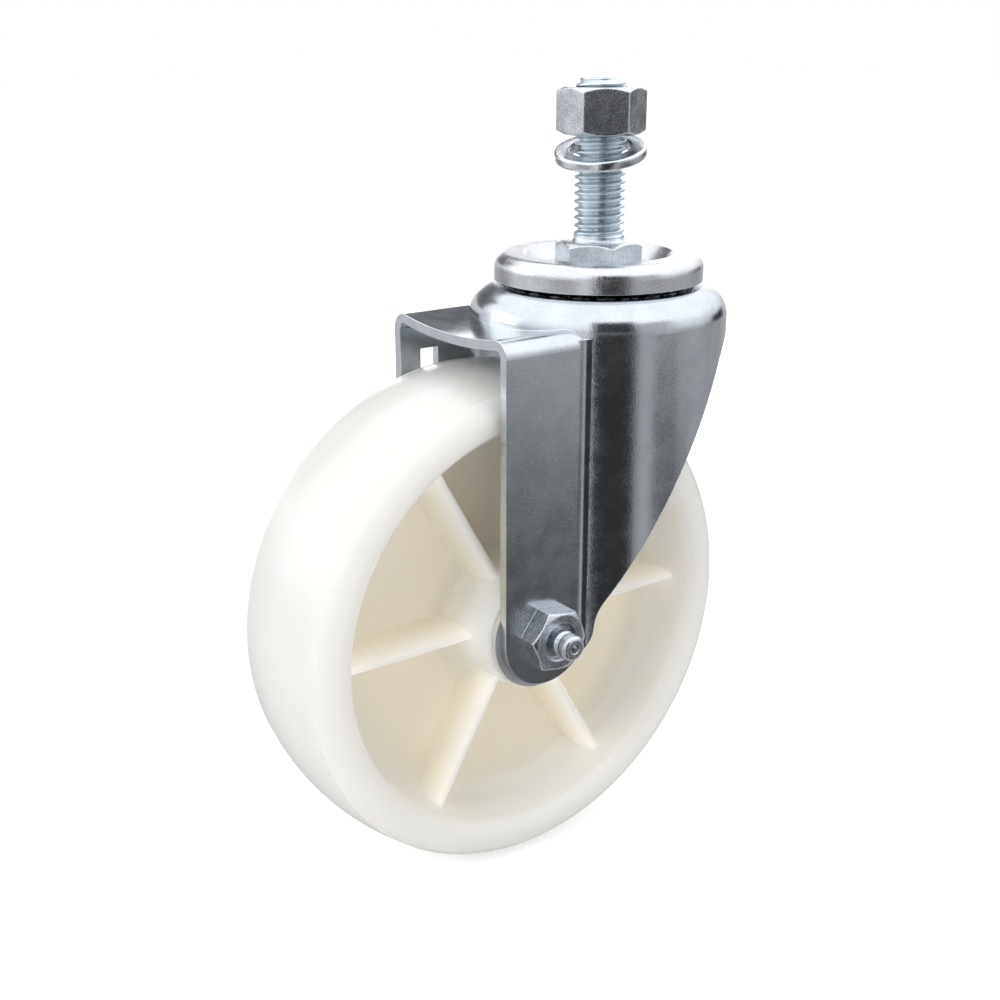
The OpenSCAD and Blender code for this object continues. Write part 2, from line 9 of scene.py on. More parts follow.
import json
import logging
import math
from dataclasses import dataclass
from enum import Enum
from functools import partial
from typing import Callable, Iterable, Sequence, Union

import bmesh
import bpy
import numpy as np
from mathutils import Matrix, Vector

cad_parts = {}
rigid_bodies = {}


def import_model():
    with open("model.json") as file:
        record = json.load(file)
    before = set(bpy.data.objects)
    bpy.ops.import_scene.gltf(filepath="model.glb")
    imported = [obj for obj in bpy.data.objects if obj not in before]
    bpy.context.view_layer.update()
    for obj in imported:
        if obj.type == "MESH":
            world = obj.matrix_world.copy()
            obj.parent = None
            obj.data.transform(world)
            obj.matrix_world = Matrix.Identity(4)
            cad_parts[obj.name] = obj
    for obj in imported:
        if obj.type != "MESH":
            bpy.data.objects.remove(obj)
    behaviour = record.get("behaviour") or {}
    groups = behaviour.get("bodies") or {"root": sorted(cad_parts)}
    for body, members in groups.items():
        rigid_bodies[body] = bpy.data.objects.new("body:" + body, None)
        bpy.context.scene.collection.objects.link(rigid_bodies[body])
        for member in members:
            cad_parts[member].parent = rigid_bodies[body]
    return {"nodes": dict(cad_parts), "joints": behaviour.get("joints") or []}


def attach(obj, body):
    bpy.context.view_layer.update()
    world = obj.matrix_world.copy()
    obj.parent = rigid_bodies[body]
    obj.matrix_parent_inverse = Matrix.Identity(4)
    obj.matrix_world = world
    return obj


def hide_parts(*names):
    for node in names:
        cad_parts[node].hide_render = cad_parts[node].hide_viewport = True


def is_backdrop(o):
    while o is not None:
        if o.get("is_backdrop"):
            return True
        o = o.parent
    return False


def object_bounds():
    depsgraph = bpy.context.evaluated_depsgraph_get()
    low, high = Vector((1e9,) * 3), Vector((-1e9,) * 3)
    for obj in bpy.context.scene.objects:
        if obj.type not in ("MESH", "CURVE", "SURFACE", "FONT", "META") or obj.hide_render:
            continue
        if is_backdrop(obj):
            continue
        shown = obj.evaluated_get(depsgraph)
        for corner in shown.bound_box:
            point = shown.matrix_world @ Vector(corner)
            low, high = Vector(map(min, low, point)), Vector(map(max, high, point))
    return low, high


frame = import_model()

Socket = bpy.types.NodeSocket
Feed = Union[Socket, float, int, Sequence[float]]
Triple = tuple[float, float, float]
Point = tuple[float, float]

MM = 0.001
WHITE = (1.0, 1.0, 1.0, 1.0)
LOG = logging.getLogger("castor")


class Part(Enum):
    """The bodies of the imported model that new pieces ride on."""

    STEM = "stem"
    WASHER = "washer"
    WHEEL = "wheel"


class Slot(Enum):
    """The record's material slots of the new pieces."""

    SHEET = "zinc_sheet"
    BAR = "zinc_bar"
    POLYMER = "white_polymer"


class Graph:
    """A node tree built from left to right, with short calls for its commonest nodes."""

    def __init__(self, tree: bpy.types.NodeTree) -> None:
        """Starts on the shader, geometry or world tree that gets the nodes."""
        self.tree = tree

    def feed(self, socket: Socket, value: Feed) -> None:
        """Links a socket, or sets its own value.

        Args:
            socket: the input.
            value: another node's output, or a constant.
        """
        if isinstance(value, Socket):
            self.tree.links.new(value, socket)
        else:
            socket.default_value = value

    def fill(self, made: bpy.types.Node, inputs: dict[str | int, Feed]) -> None:
        """Feeds several of a node's inputs, each given by its name or number."""
        for name, value in inputs.items():
            self.feed(made.inputs[name], value)

    def node(self, kind: str, inputs: dict[str | int, Feed] | None = None,
             **settings: object) -> bpy.types.Node:
        """Adds a node.

        Args:
            kind: the node's type.
            inputs: the inputs' names or numbers, and what feeds each.
            settings: the node's own properties.

        Returns:
            The new node.
        """
        made = self.tree.nodes.new(kind)
        for name, value in settings.items():
            setattr(made, name, value)
        self.fill(made, inputs or {})
        return made

    def math(self, operation: str, *values: Feed, clamp: bool = False) -> Socket:
        """Adds a math node on up to three values and returns its output."""
        made = self.node("ShaderNodeMath", dict(enumerate(values)), operation=operation,
                         use_clamp=clamp)
        return made.outputs[0]

    def sums(self) -> tuple[Callable[..., Socket], ...]:
        """Returns short calls that add, subtract, multiply and divide."""
        return tuple(partial(self.math, name) for name in ("ADD", "SUBTRACT", "MULTIPLY", "DIVIDE"))

    def ramp(self, value: Feed, low: Feed, high: Feed, to_low: Feed = 0.0,
             to_high: Feed = 1.0) -> Socket:
        """Maps a value smoothly from the range low to high onto the range to_low to to_high."""
        return self.node("ShaderNodeMapRange", {
            "Value": value, "From Min": low, "From Max": high, "To Min": to_low,
            "To Max": to_high}, interpolation_type="SMOOTHSTEP").outputs["Result"]

    def noise(self, vector: Feed, scale: Feed, detail: float = 2.0, rough: float = 0.5) -> Socket:
        """Adds a noise texture and returns its value."""
        return self.node("ShaderNodeTexNoise", {
            "Vector": vector, "Scale": scale, "Detail": detail, "Roughness": rough}).outputs["Fac"]

    def blend(self, share: Feed, first: Feed, second: Feed) -> Socket:
        """Mixes two colours, which are a mix node's inputs 6 and 7 and its output 2."""
        made = self.node("ShaderNodeMix", {0: share, 6: first, 7: second}, data_type="RGBA")
        return made.outputs[2]

    def bump(self, height: Feed, distance: float, normal: Socket | None = None) -> Socket:
        """Adds a bump of full strength, over another normal if one is given."""
        over = {} if normal is None else {"Normal": normal}
        return self.node("ShaderNodeBump", {"Height": height, "Distance": distance,
                                            "Strength": 1.0, **over}).outputs[0]

    def place(self) -> Socket:
        """Returns the shaded point's place in the piece's own coordinates."""
        return self.node("ShaderNodeTexCoord").outputs["Object"]

    def split(self, vector: Feed) -> tuple[Socket, ...]:
        """Splits a vector into its three numbers."""
        return tuple(self.node("ShaderNodeSeparateXYZ", {"Vector": vector}).outputs)

    def join(self, x: Feed, y: Feed, z: Feed) -> Socket:
        """Joins three numbers into a vector."""
        return self.node("ShaderNodeCombineXYZ", {"X": x, "Y": y, "Z": z}).outputs[0]


def shader_group(name: str, inputs: dict[str, float],
                 outputs: dict[str, str]) -> tuple[Graph, dict[str, Socket], dict[str, Socket]]:
    """Starts a shader node group for an effect that several finishes share.

    Args:
        name: the group's name.
        inputs: input name to default number.
        outputs: output name to socket type.

    Returns:
        The graph, the input sockets by name and the group output's sockets by name.
    """
    tree = bpy.data.node_groups.new(name, "ShaderNodeTree")
    for key, value in inputs.items():
        socket = tree.interface.new_socket(key, in_out="INPUT", socket_type="NodeSocketFloat")
        socket.default_value = value
    for key, kind in outputs.items():
        tree.interface.new_socket(key, in_out="OUTPUT", socket_type=kind)
    graph = Graph(tree)
    entry, leave = graph.node("NodeGroupInput"), graph.node("NodeGroupOutput")
    return (graph, {key: entry.outputs[key] for key in inputs},
            {key: leave.inputs[key] for key in outputs})


def edge_group() -> bpy.types.NodeTree:
    """Builds a rounded normal for sharp edges, and a mask that is 1 on them, where the plate paints
    its highlight.

    Returns:
        The node group.
    """
    flat, sharp = 0.995, 0.80  # the cosine between both normals where the mask is 0 and where 1
    graph, given, out = shader_group(
        "edge_rounding_and_highlight", {"Radius": 0.25 * MM, "Spread": 0.5 * MM},
        {"Mask": "NodeSocketFloat", "Normal": "NodeSocketVector"})
    soft = graph.node("ShaderNodeBevel", {"Radius": given["Radius"]}, samples=10)
    wide = graph.node("ShaderNodeBevel", {"Radius": given["Spread"]}, samples=6)
    plain = graph.node("ShaderNodeNewGeometry")
    turn = graph.node("ShaderNodeVectorMath", {0: wide.outputs[0], 1: plain.outputs["Normal"]},
                      operation="DOT_PRODUCT")
    graph.feed(out["Mask"], graph.ramp(turn.outputs["Value"], flat, sharp))
    graph.feed(out["Normal"], soft.outputs[0])
    return graph.tree


def mottle_group() -> bpy.types.NodeTree:
    """Builds the cloudy, finely speckled and faintly scratched look of plated steel.

    Returns:
        The node group, with a cloud value, a speckle value and a scratch value.
    """
    graph, given, out = shader_group(
        "plating_mottle", {"Cloud": 160.0, "Speckle": 2600.0, "Scratch": 900.0},
        dict.fromkeys(("Clouds", "Speckles", "Scratches"), "NodeSocketFloat"))
    place = graph.place()
    drawn = graph.node("ShaderNodeMapping", {
        "Vector": place, "Rotation": (0.35, 0.2, 0.9), "Scale": (1.0, 14.0, 1.0)}).outputs[0]
    for name, vector, scale, detail, rough, start, full in (
            ("Clouds", place, "Cloud", 4.0, 0.6, 0.34, 0.66),
            ("Speckles", place, "Speckle", 2.0, 0.65, 0.36, 0.66),
            ("Scratches", drawn, "Scratch", 3.0, 0.6, 0.60, 0.72)):
        value = graph.noise(vector, given[scale], detail, rough)
        graph.feed(out[name], graph.ramp(value, start, full))
    return graph.tree


@dataclass(frozen=True)
class Effects:
    """The node groups that several finishes share."""

    edges: bpy.types.NodeTree
    mottle: bpy.types.NodeTree

    @classmethod
    def build(cls) -> "Effects":
        """Builds each group once."""
        return cls(edge_group(), mottle_group())


def new_material(name: str) -> tuple[bpy.types.Material, Graph, bpy.types.Node]:
    """Starts a material.

    Args:
        name: the material's name.

    Returns:
        The material, its graph and its principled shader.
    """
    material = bpy.data.materials.new(name)
    material.use_nodes = True
    material.node_tree.nodes.clear()
    graph = Graph(material.node_tree)
    shader = graph.node("ShaderNodeBsdfPrincipled")
    graph.node("ShaderNodeOutputMaterial", {"Surface": shader.outputs[0]})
    return material, graph, shader


@dataclass(frozen=True)
class ZincPlate:
    """Bright bluish zinc plate: cloudy, finely speckled, half a mirror, with a painted highlight on
    its sharp edges and paler scratches.
    """

    name: str
    dark: Triple
    light: Triple
    # colour of the painted highlight on sharp edges, also of the paler scratches
    edge: Triple
    rough_low: float
    rough_high: float
    speckle_height: float
    cloud: float = 160.0
    speckle: float = 2600.0
    edge_radius: float = 0.25 * MM
    cloud_share: float = 0.55
    speckle_share: float = 0.45
    cloud_height: float = 0.4
    edge_highlight: float = 0.7
    scratch_wear: float = 0.35
    scratch_rough: float = 0.05

    def material(self, effects: Effects) -> bpy.types.Material:
        """Builds the finish's material.

        Args:
            effects: the shared groups.

        Returns:
            The material.
        """
        material, graph, shader = new_material(self.name)
        mottle = graph.node("ShaderNodeGroup", {"Cloud": self.cloud, "Speckle": self.speckle},
                            node_tree=effects.mottle)
        edges = graph.node("ShaderNodeGroup", {"Radius": self.edge_radius},
                           node_tree=effects.edges)
        clouds, speckles, scratches = mottle.outputs
        share = graph.math("MULTIPLY_ADD", clouds, self.cloud_share,
                           graph.math("MULTIPLY", speckles, self.speckle_share))
        body = graph.blend(share, (*self.dark, 1.0), (*self.light, 1.0))
        # painted highlight on sharp edges, together with the real paler scratches
        highlight_and_scratches = graph.math(
            "MAXIMUM", graph.math("MULTIPLY", edges.outputs["Mask"], self.edge_highlight),
            graph.math("MULTIPLY", scratches, self.scratch_wear))
        rough = graph.ramp(share, 0.0, 1.0, self.rough_low, self.rough_high)
        height = graph.math("MULTIPLY_ADD", clouds, self.cloud_height, speckles)
        graph.fill(shader, {
            "Metallic": 1.0,
            "Base Color": graph.blend(highlight_and_scratches, body, (*self.edge, 1.0)),
            "Roughness": graph.math("MULTIPLY_ADD", scratches, self.scratch_rough, rough),
            "Normal": graph.bump(height, self.speckle_height, edges.outputs["Normal"])})
        return material


@dataclass(frozen=True)
class GroundSteel:
    """Hardened bearing steel: fine grinding marks under a film of grease."""

    name: str
    colour: Triple
    roughness: float
    cloud: float = 420.0
    film_from: float = 0.2
    film_full: float = 0.9
    film_shade: float = 0.55
    mark_rough: float = 0.12
    mark_height: float = 0.01 * MM

    def material(self, effects: Effects) -> bpy.types.Material:
        """Builds the finish's material.

        Args:
            effects: the shared groups.

        Returns:
            The material.
        """
        material, graph, shader = new_material(self.name)
        mottle = graph.node("ShaderNodeGroup", {"Cloud": self.cloud}, node_tree=effects.mottle)
        edges = graph.node("ShaderNodeGroup", node_tree=effects.edges)
        marks = mottle.outputs["Scratches"]
        film = graph.ramp(mottle.outputs["Clouds"], self.film_from, self.film_full)
        shaded = (*(self.film_shade * c for c in self.colour), 1.0)
        graph.fill(shader, {
            "Metallic": 1.0,
            "Base Color": graph.blend(film, (*self.colour, 1.0), shaded),
            "Roughness": graph.ramp(marks, 0.0, 1.0, self.roughness,
                                    self.roughness + self.mark_rough),
            "Normal": graph.bump(marks, self.mark_height, edges.outputs["Normal"])})
        return material


@dataclass(frozen=True)
class WaxyPolymer:
    """White moulded polymer that lets light in: smooth waxy skin, with a painted warm shade that
    darkens its recesses.
    """

    name: str
    skin: Triple
    # colour of the painted shade in the recesses, and also the tint of the random flow marks
    shade_and_flow_tint: Triple
    roughness: float
    axle: Triple
    recess_out: float = 56.0 * MM
    recess_in: float = 45.0 * MM
    web_half: float = 3.5 * MM
    crest: float = 12.5 * MM
    flow_scale: float = 55.0
    flow_range: Point = (0.3, 0.8)
    flow_share: float = 0.05
    swell_scale: float = 70.0
    swell_height: float = 0.02 * MM
    gloss_scale: float = 30.0
    gloss_range: Point = (0.3, 0.7)
    rough_less: float = 0.01
    rough_more: float = 0.015
    light_share: float = 0.72
    light_radius: Triple = (1.0, 0.78, 0.56)
    light_reach: float = 14.0 * MM
    index: float = 1.5

    def material(self, effects: Effects) -> bpy.types.Material:
        """Builds the finish's material.

        Args:
            effects: the shared groups.

        Returns:
            The material.
        """
        material, graph, shader = new_material(self.name)
        place = graph.place()
        centred = graph.node("ShaderNodeMapping", {
            "Vector": place, "Location": tuple(-c for c in self.axle)})
        x, y, z = graph.split(centred.outputs[0])
        reach = graph.math("SQRT", graph.math("MULTIPLY_ADD", x, x, graph.math("MULTIPLY", z, z)))
        # painted shade: 1 deep in the recess between hub and rim, 0 on the outer skin, so the
        # colour turns darker and warmer where shade falls
        depth = graph.math("MULTIPLY", graph.ramp(reach, self.recess_out, self.recess_in),
                           graph.ramp(graph.math("ABSOLUTE", y), self.crest, self.web_half))
        colour = graph.blend(depth, (*self.skin, 1.0), (*self.shade_and_flow_tint, 1.0))
        # random faint flow marks of the moulding, in the same tint as the painted shade
        flow = graph.noise(place, self.flow_scale, detail=3.0)
        flow = graph.ramp(flow, *self.flow_range, 0.0, self.flow_share)
        gloss = graph.noise(place, self.gloss_scale, detail=0.0)
        shader.subsurface_method = "BURLEY"
        graph.fill(shader, {
            "Base Color": graph.blend(flow, colour, (*self.shade_and_flow_tint, 1.0)),
            "Roughness": graph.ramp(gloss, *self.gloss_range, self.roughness - self.rough_less,
                                    self.roughness + self.rough_more),
            "Normal": graph.bump(graph.noise(place, self.swell_scale), self.swell_height),
            "Subsurface Weight": self.light_share,
            "Subsurface Radius": self.light_radius,
            "Subsurface Scale": self.light_reach,
            "IOR": self.index})
        return material


@dataclass(frozen=True)
class PaleFloor:
    """Matt pale paper under the castor."""

    colour: Triple = (0.93, 0.93, 0.93)
    grain_scale: float = 900.0
    grain_shade: float = 0.99
    roughness: float = 0.9
    sheen: float = 0.1
    lift: float = 0.50

    def material(self) -> bpy.types.Material:
        """Builds the finish's material, which looks a little lighter to the camera.

        Returns:
            The material.
        """
        material, graph, shader = new_material("pale_floor")
        low = (*(self.grain_shade * c for c in self.colour), 1.0)
        grain = graph.noise(graph.place(), self.grain_scale)
        rays = graph.node("ShaderNodeLightPath")
        graph.fill(shader, {
            "Base Color": graph.blend(grain, low, (*self.colour, 1.0)),
            "Roughness": self.roughness,
            "Specular IOR Level": self.sheen,
            "Emission Color": WHITE,
            "Emission Strength": graph.math("MULTIPLY", rays.outputs["Is Camera Ray"], self.lift)})
        return material


@dataclass(frozen=True)
class Finishes:
    """Every material of the castor, built once."""

    pressed: bpy.types.Material
    cap: bpy.types.Material
    turned: bpy.types.Material
    rolled: bpy.types.Material
    washer: bpy.types.Material
    dull: bpy.types.Material
    bearing: bpy.types.Material
    polymer: bpy.types.Material

    @classmethod
    def build(cls, axle: Vector) -> "Finishes":
        """Builds the shared effects and each finish, in the order of the fields.

        Args:
            axle: the middle of the wheel.

        Returns:
            The finishes.
        """
        effects = Effects.build()
        finishes = (
            # each plate's edge colour is its painted highlight on sharp edges and the colour of its
            # scratches
            ZincPlate("zinc_plated_sheet", dark=(0.53, 0.575, 0.61), light=(0.66, 0.70, 0.73),
                      edge=(0.86, 0.88, 0.90), rough_low=0.12, rough_high=0.20,
                      speckle_height=0.005 * MM),
            ZincPlate("zinc_plated_cap", dark=(0.60, 0.62, 0.645), light=(0.75, 0.765, 0.785),
                      edge=(0.88, 0.89, 0.90), rough_low=0.18, rough_high=0.29,
                      speckle_height=0.010 * MM),
            ZincPlate("zinc_plated_bar", dark=(0.46, 0.50, 0.54), light=(0.78, 0.82, 0.85),
                      edge=(0.95, 0.96, 0.97), rough_low=0.16, rough_high=0.27,
                      speckle_height=0.016 * MM, edge_radius=0.7 * MM),
            ZincPlate("zinc_plated_thread", dark=(0.50, 0.60, 0.66), light=(0.82, 0.88, 0.91),
                      edge=(0.95, 0.97, 0.98), rough_low=0.27, rough_high=0.38,
                      speckle_height=0.010 * MM, edge_radius=0.12 * MM),
            ZincPlate("zinc_plated_washer", dark=(0.58, 0.61, 0.64), light=(0.80, 0.83, 0.86),
                      edge=(0.94, 0.95, 0.96), rough_low=0.13, rough_high=0.22,
                      speckle_height=0.010 * MM),
            ZincPlate("zinc_plated_thrust_washer", dark=(0.80, 0.81, 0.82),
                      light=(0.92, 0.92, 0.92), edge=(0.95, 0.95, 0.95), rough_low=0.50,
                      rough_high=0.62, speckle_height=0.010 * MM),
            GroundSteel("greased_bearing_steel", colour=(0.50, 0.50, 0.51), roughness=0.22),
            # the polymer's second colour is the painted shade of its recesses and the tint of its
            # flow marks
            WaxyPolymer("white_moulded_polymer", skin=(0.94, 0.935, 0.91),
                        shade_and_flow_tint=(0.86, 0.83, 0.715), roughness=0.22, axle=tuple(axle)))
        return cls(*(finish.material(effects) for finish in finishes))


def mesh_object(name: str, corners: np.ndarray,
                faces: Iterable[Sequence[int]]) -> bpy.types.Object:
    """Makes a mesh object from points and faces.

    Args:
        name: the object's name.
        corners: the points, in metres.
        faces: the point numbers of each face.

    Returns:
        The linked object.
    """
    mesh = bpy.data.meshes.new(name)
    mesh.from_pydata([tuple(map(float, c)) for c in corners], [], [tuple(f) for f in faces])
    mesh.update()
    made = bpy.data.objects.new(name, mesh)
    bpy.context.scene.collection.objects.link(made)
    return made


def tidy_mesh(made: bpy.types.Object, sharp: float, merge: float = 0.002 * MM) -> None:
    """Merges a piece's doubles, turns its faces outwards and shades it smooth between sharp edges.

    Args:
        made: the piece.
        sharp: an edge that turns more than this many degrees stays sharp.
        merge: points nearer than this become one, and edges of a quarter of it dissolve.
    """
    work = bmesh.new()
    work.from_mesh(made.data)
    bmesh.ops.remove_doubles(work, verts=work.verts, dist=merge)
    bmesh.ops.dissolve_degenerate(work, edges=work.edges, dist=merge / 4)
    bmesh.ops.recalc_face_normals(work, faces=work.faces)
    for face in work.faces:
        face.smooth = True
    for edge in work.edges:
        flat = edge.calc_face_angle(0.0) < math.radians(sharp)
        edge.smooth = flat and len(edge.link_faces) == 2
    work.to_mesh(made.data)
    work.free()


def evaluated(made: bpy.types.Object) -> None:
    """Turns a piece's modifiers into a plain mesh and removes them.

    Args:
        made: the piece.
    """
    solved = made.evaluated_get(bpy.context.evaluated_depsgraph_get())
    mesh = bpy.data.meshes.new_from_object(solved)
    made.modifiers.clear()
    made.data = mesh


def dress(made: bpy.types.Object, material: bpy.types.Material) -> None:
    """Gives a piece one material."""
    made.data.materials.clear()
    made.data.materials.append(material)


def settle(made: bpy.types.Object, part: Part, slot: Slot, *nodes: str) -> None:
    """Sets a new piece on its body, hides the CAD nodes that it stands for and logs its faces.

    Args:
        made: the piece.
        part: the body that it rides on.
        slot: the record's material slot; not used.
        nodes: the CAD nodes that it replaces.
    """
    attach(made, part.value)
    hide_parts(*nodes)
    LOG.info("%s: %d faces on %s", made.name, len(made.data.polygons), part.value)


def finish_nodes(material: bpy.types.Material, *names: str) -> None:
    """Gives CAD nodes that keep their shapes a better material.

    Args:
        material: the finish.
        names: the nodes.
    """
    for name in names:
        node = frame["nodes"][name]
        if not node.data.materials:
            node.data.materials.append(material)
        for number in range(len(node.data.materials)):
            node.data.materials[number] = material
        LOG.info("%s: keeps its shape, finished with %s", name, material.name)


def geometry_group(
        name: str,
        inputs: dict[str, tuple[str, float | None]]) -> tuple[Graph, dict[str, Socket], Socket]:
    """Starts a geometry node group.

    Args:
        name: the group's name.
        inputs: input name to its socket type and default.

    Returns:
        The graph, the inputs by name, and the geometry that leaves.
    """
    tree = bpy.data.node_groups.new(name, "GeometryNodeTree")
    tree.interface.new_socket("Geometry", in_out="INPUT", socket_type="NodeSocketGeometry")
    for key, (kind, value) in inputs.items():
        socket = tree.interface.new_socket(key, in_out="INPUT", socket_type=kind)
        if value is not None:
            socket.default_value = value
    tree.interface.new_socket("Geometry", in_out="OUTPUT", socket_type="NodeSocketGeometry")
    graph = Graph(tree)
    entry, leave = graph.node("NodeGroupInput"), graph.node("NodeGroupOutput")
    given = {key: entry.outputs[key] for key in [*inputs, "Geometry"]}
    return graph, given, leave.inputs["Geometry"]


def close_group(graph: Graph, geometry: Socket, finish: Socket,
                out: Socket) -> bpy.types.NodeTree:
    """Ends a geometry node group with real geometry in its material.

    Args:
        graph: the group's graph.
        geometry: what the group has made.
        finish: the material.
        out: the geometry that leaves.

    Returns:
        The geometry node group.
    """
    real = graph.node("GeometryNodeRealizeInstances", {"Geometry": geometry})
    named = graph.node("GeometryNodeSetMaterial", {
        "Geometry": real.outputs[0], "Material": finish})
    graph.feed(out, named.outputs[0])
    return graph.tree


def run_geometry(made: bpy.types.Object, tree: bpy.types.NodeTree,
                 values: dict[str, object]) -> None:
    """Runs a geometry node group on a piece and keeps the result as a plain mesh.

    Args:
        made: the piece.
        tree: the group.
        values: input name to value.
    """
    modifier = made.modifiers.new(tree.name, "NODES")
    modifier.node_group = tree
    for item in tree.interface.items_tree:
        if item.item_type == "SOCKET" and item.in_out == "INPUT" and item.name in values:
            modifier[item.identifier] = values[item.name]
    evaluated(made)


def thread_tree() -> bpy.types.NodeTree:
    """Builds the tree that winds a screw thread as one closed rod along Z.

    A grid from -0.5 to 0.5 is rolled into a tube, and its rows climb one pitch a turn, so they
    follow the thread.

    Returns:
        The geometry node group.
    """
    number, whole = "NodeSocketFloat", "NodeSocketInt"
    crest, root = 0.10, 0.88  # shares of half a pitch where the flank starts and ends
    graph, given, out = geometry_group("screw_thread", {
        "Radius": (number, 6.35 * MM), "Depth": (number, 1.2 * MM), "Pitch": (number, 1.954 * MM),
        "Bottom": (number, 0.0), "Top": (number, 38.7 * MM), "Chamfer": (number, 1.25 * MM),
        "Plain Neck": (number, 2.4 * MM), "Run-out": (number, 2.0 * MM),
        "Flare": (number, 0.5 * MM), "Columns": (whole, 72), "Rows A Turn": (whole, 14),
        "Finish": ("NodeSocketMaterial", None)})
    add, less, times, over = graph.sums()
    step = over(given["Pitch"], given["Rows A Turn"])
    climb = add(less(given["Top"], given["Bottom"]), given["Pitch"])
    rows = graph.math("CEIL", over(climb, step))
    grid = graph.node("GeometryNodeMeshGrid", {
        "Size X": 1.0, "Size Y": 1.0, "Vertices X": add(given["Columns"], 1.0),
        "Vertices Y": add(rows, 1.0)})
    x, y, _ = graph.split(graph.node("GeometryNodeInputPosition").outputs[0])
    across, up = add(x, 0.5), add(y, 0.5)
    turn = times(across, 2 * math.pi)
    wound = add(times(up, times(rows, step)), times(less(across, 1.0), given["Pitch"]))
    height = graph.math("MAXIMUM", add(given["Bottom"], wound), given["Bottom"])
    height = graph.math("MINIMUM", height, given["Top"])
    phase = graph.math("FRACT", less(over(height, given["Pitch"]), across))
    away = graph.math("ABSOLUTE", graph.math("MULTIPLY_ADD", phase, 2.0, -1.0))
    above = less(height, given["Bottom"])
    begun = graph.ramp(above, given["Plain Neck"], add(given["Plain Neck"], given["Run-out"]))
    cut = times(times(given["Depth"], graph.ramp(away, crest, root)), begun)
    flared = times(given["Flare"], graph.ramp(above, given["Plain Neck"], 0.0))
    tip = less(given["Radius"], given["Chamfer"])
    radius = graph.math("MINIMUM", add(less(given["Radius"], cut), flared),
                        add(tip, less(given["Top"], height)))
    place = graph.join(times(radius, graph.math("COSINE", turn)),
                       times(radius, graph.math("SINE", turn)), height)
    wall = graph.node("GeometryNodeSetPosition", {
        "Geometry": grid.outputs["Mesh"], "Position": place})
    pieces = [wall.outputs[0]]
    for level, reach in ((given["Bottom"], add(given["Radius"], given["Flare"])),
                         (given["Top"], tip)):
        disc = graph.node("GeometryNodeMeshCircle", {
            "Vertices": given["Columns"], "Radius": reach}, fill_type="NGON")
        pieces.append(graph.node("GeometryNodeTransform", {
            "Geometry": disc.outputs[0], "Translation": graph.join(0.0, 0.0, level)}).outputs[0])
    rod = graph.node("GeometryNodeJoinGeometry")
    for piece in pieces:
        graph.feed(rod.inputs[0], piece)
    merged = graph.node("GeometryNodeMergeByDistance", {
        "Geometry": rod.outputs[0], "Distance": 0.004 * MM})
    return close_group(graph, merged.outputs[0], given["Finish"], out)


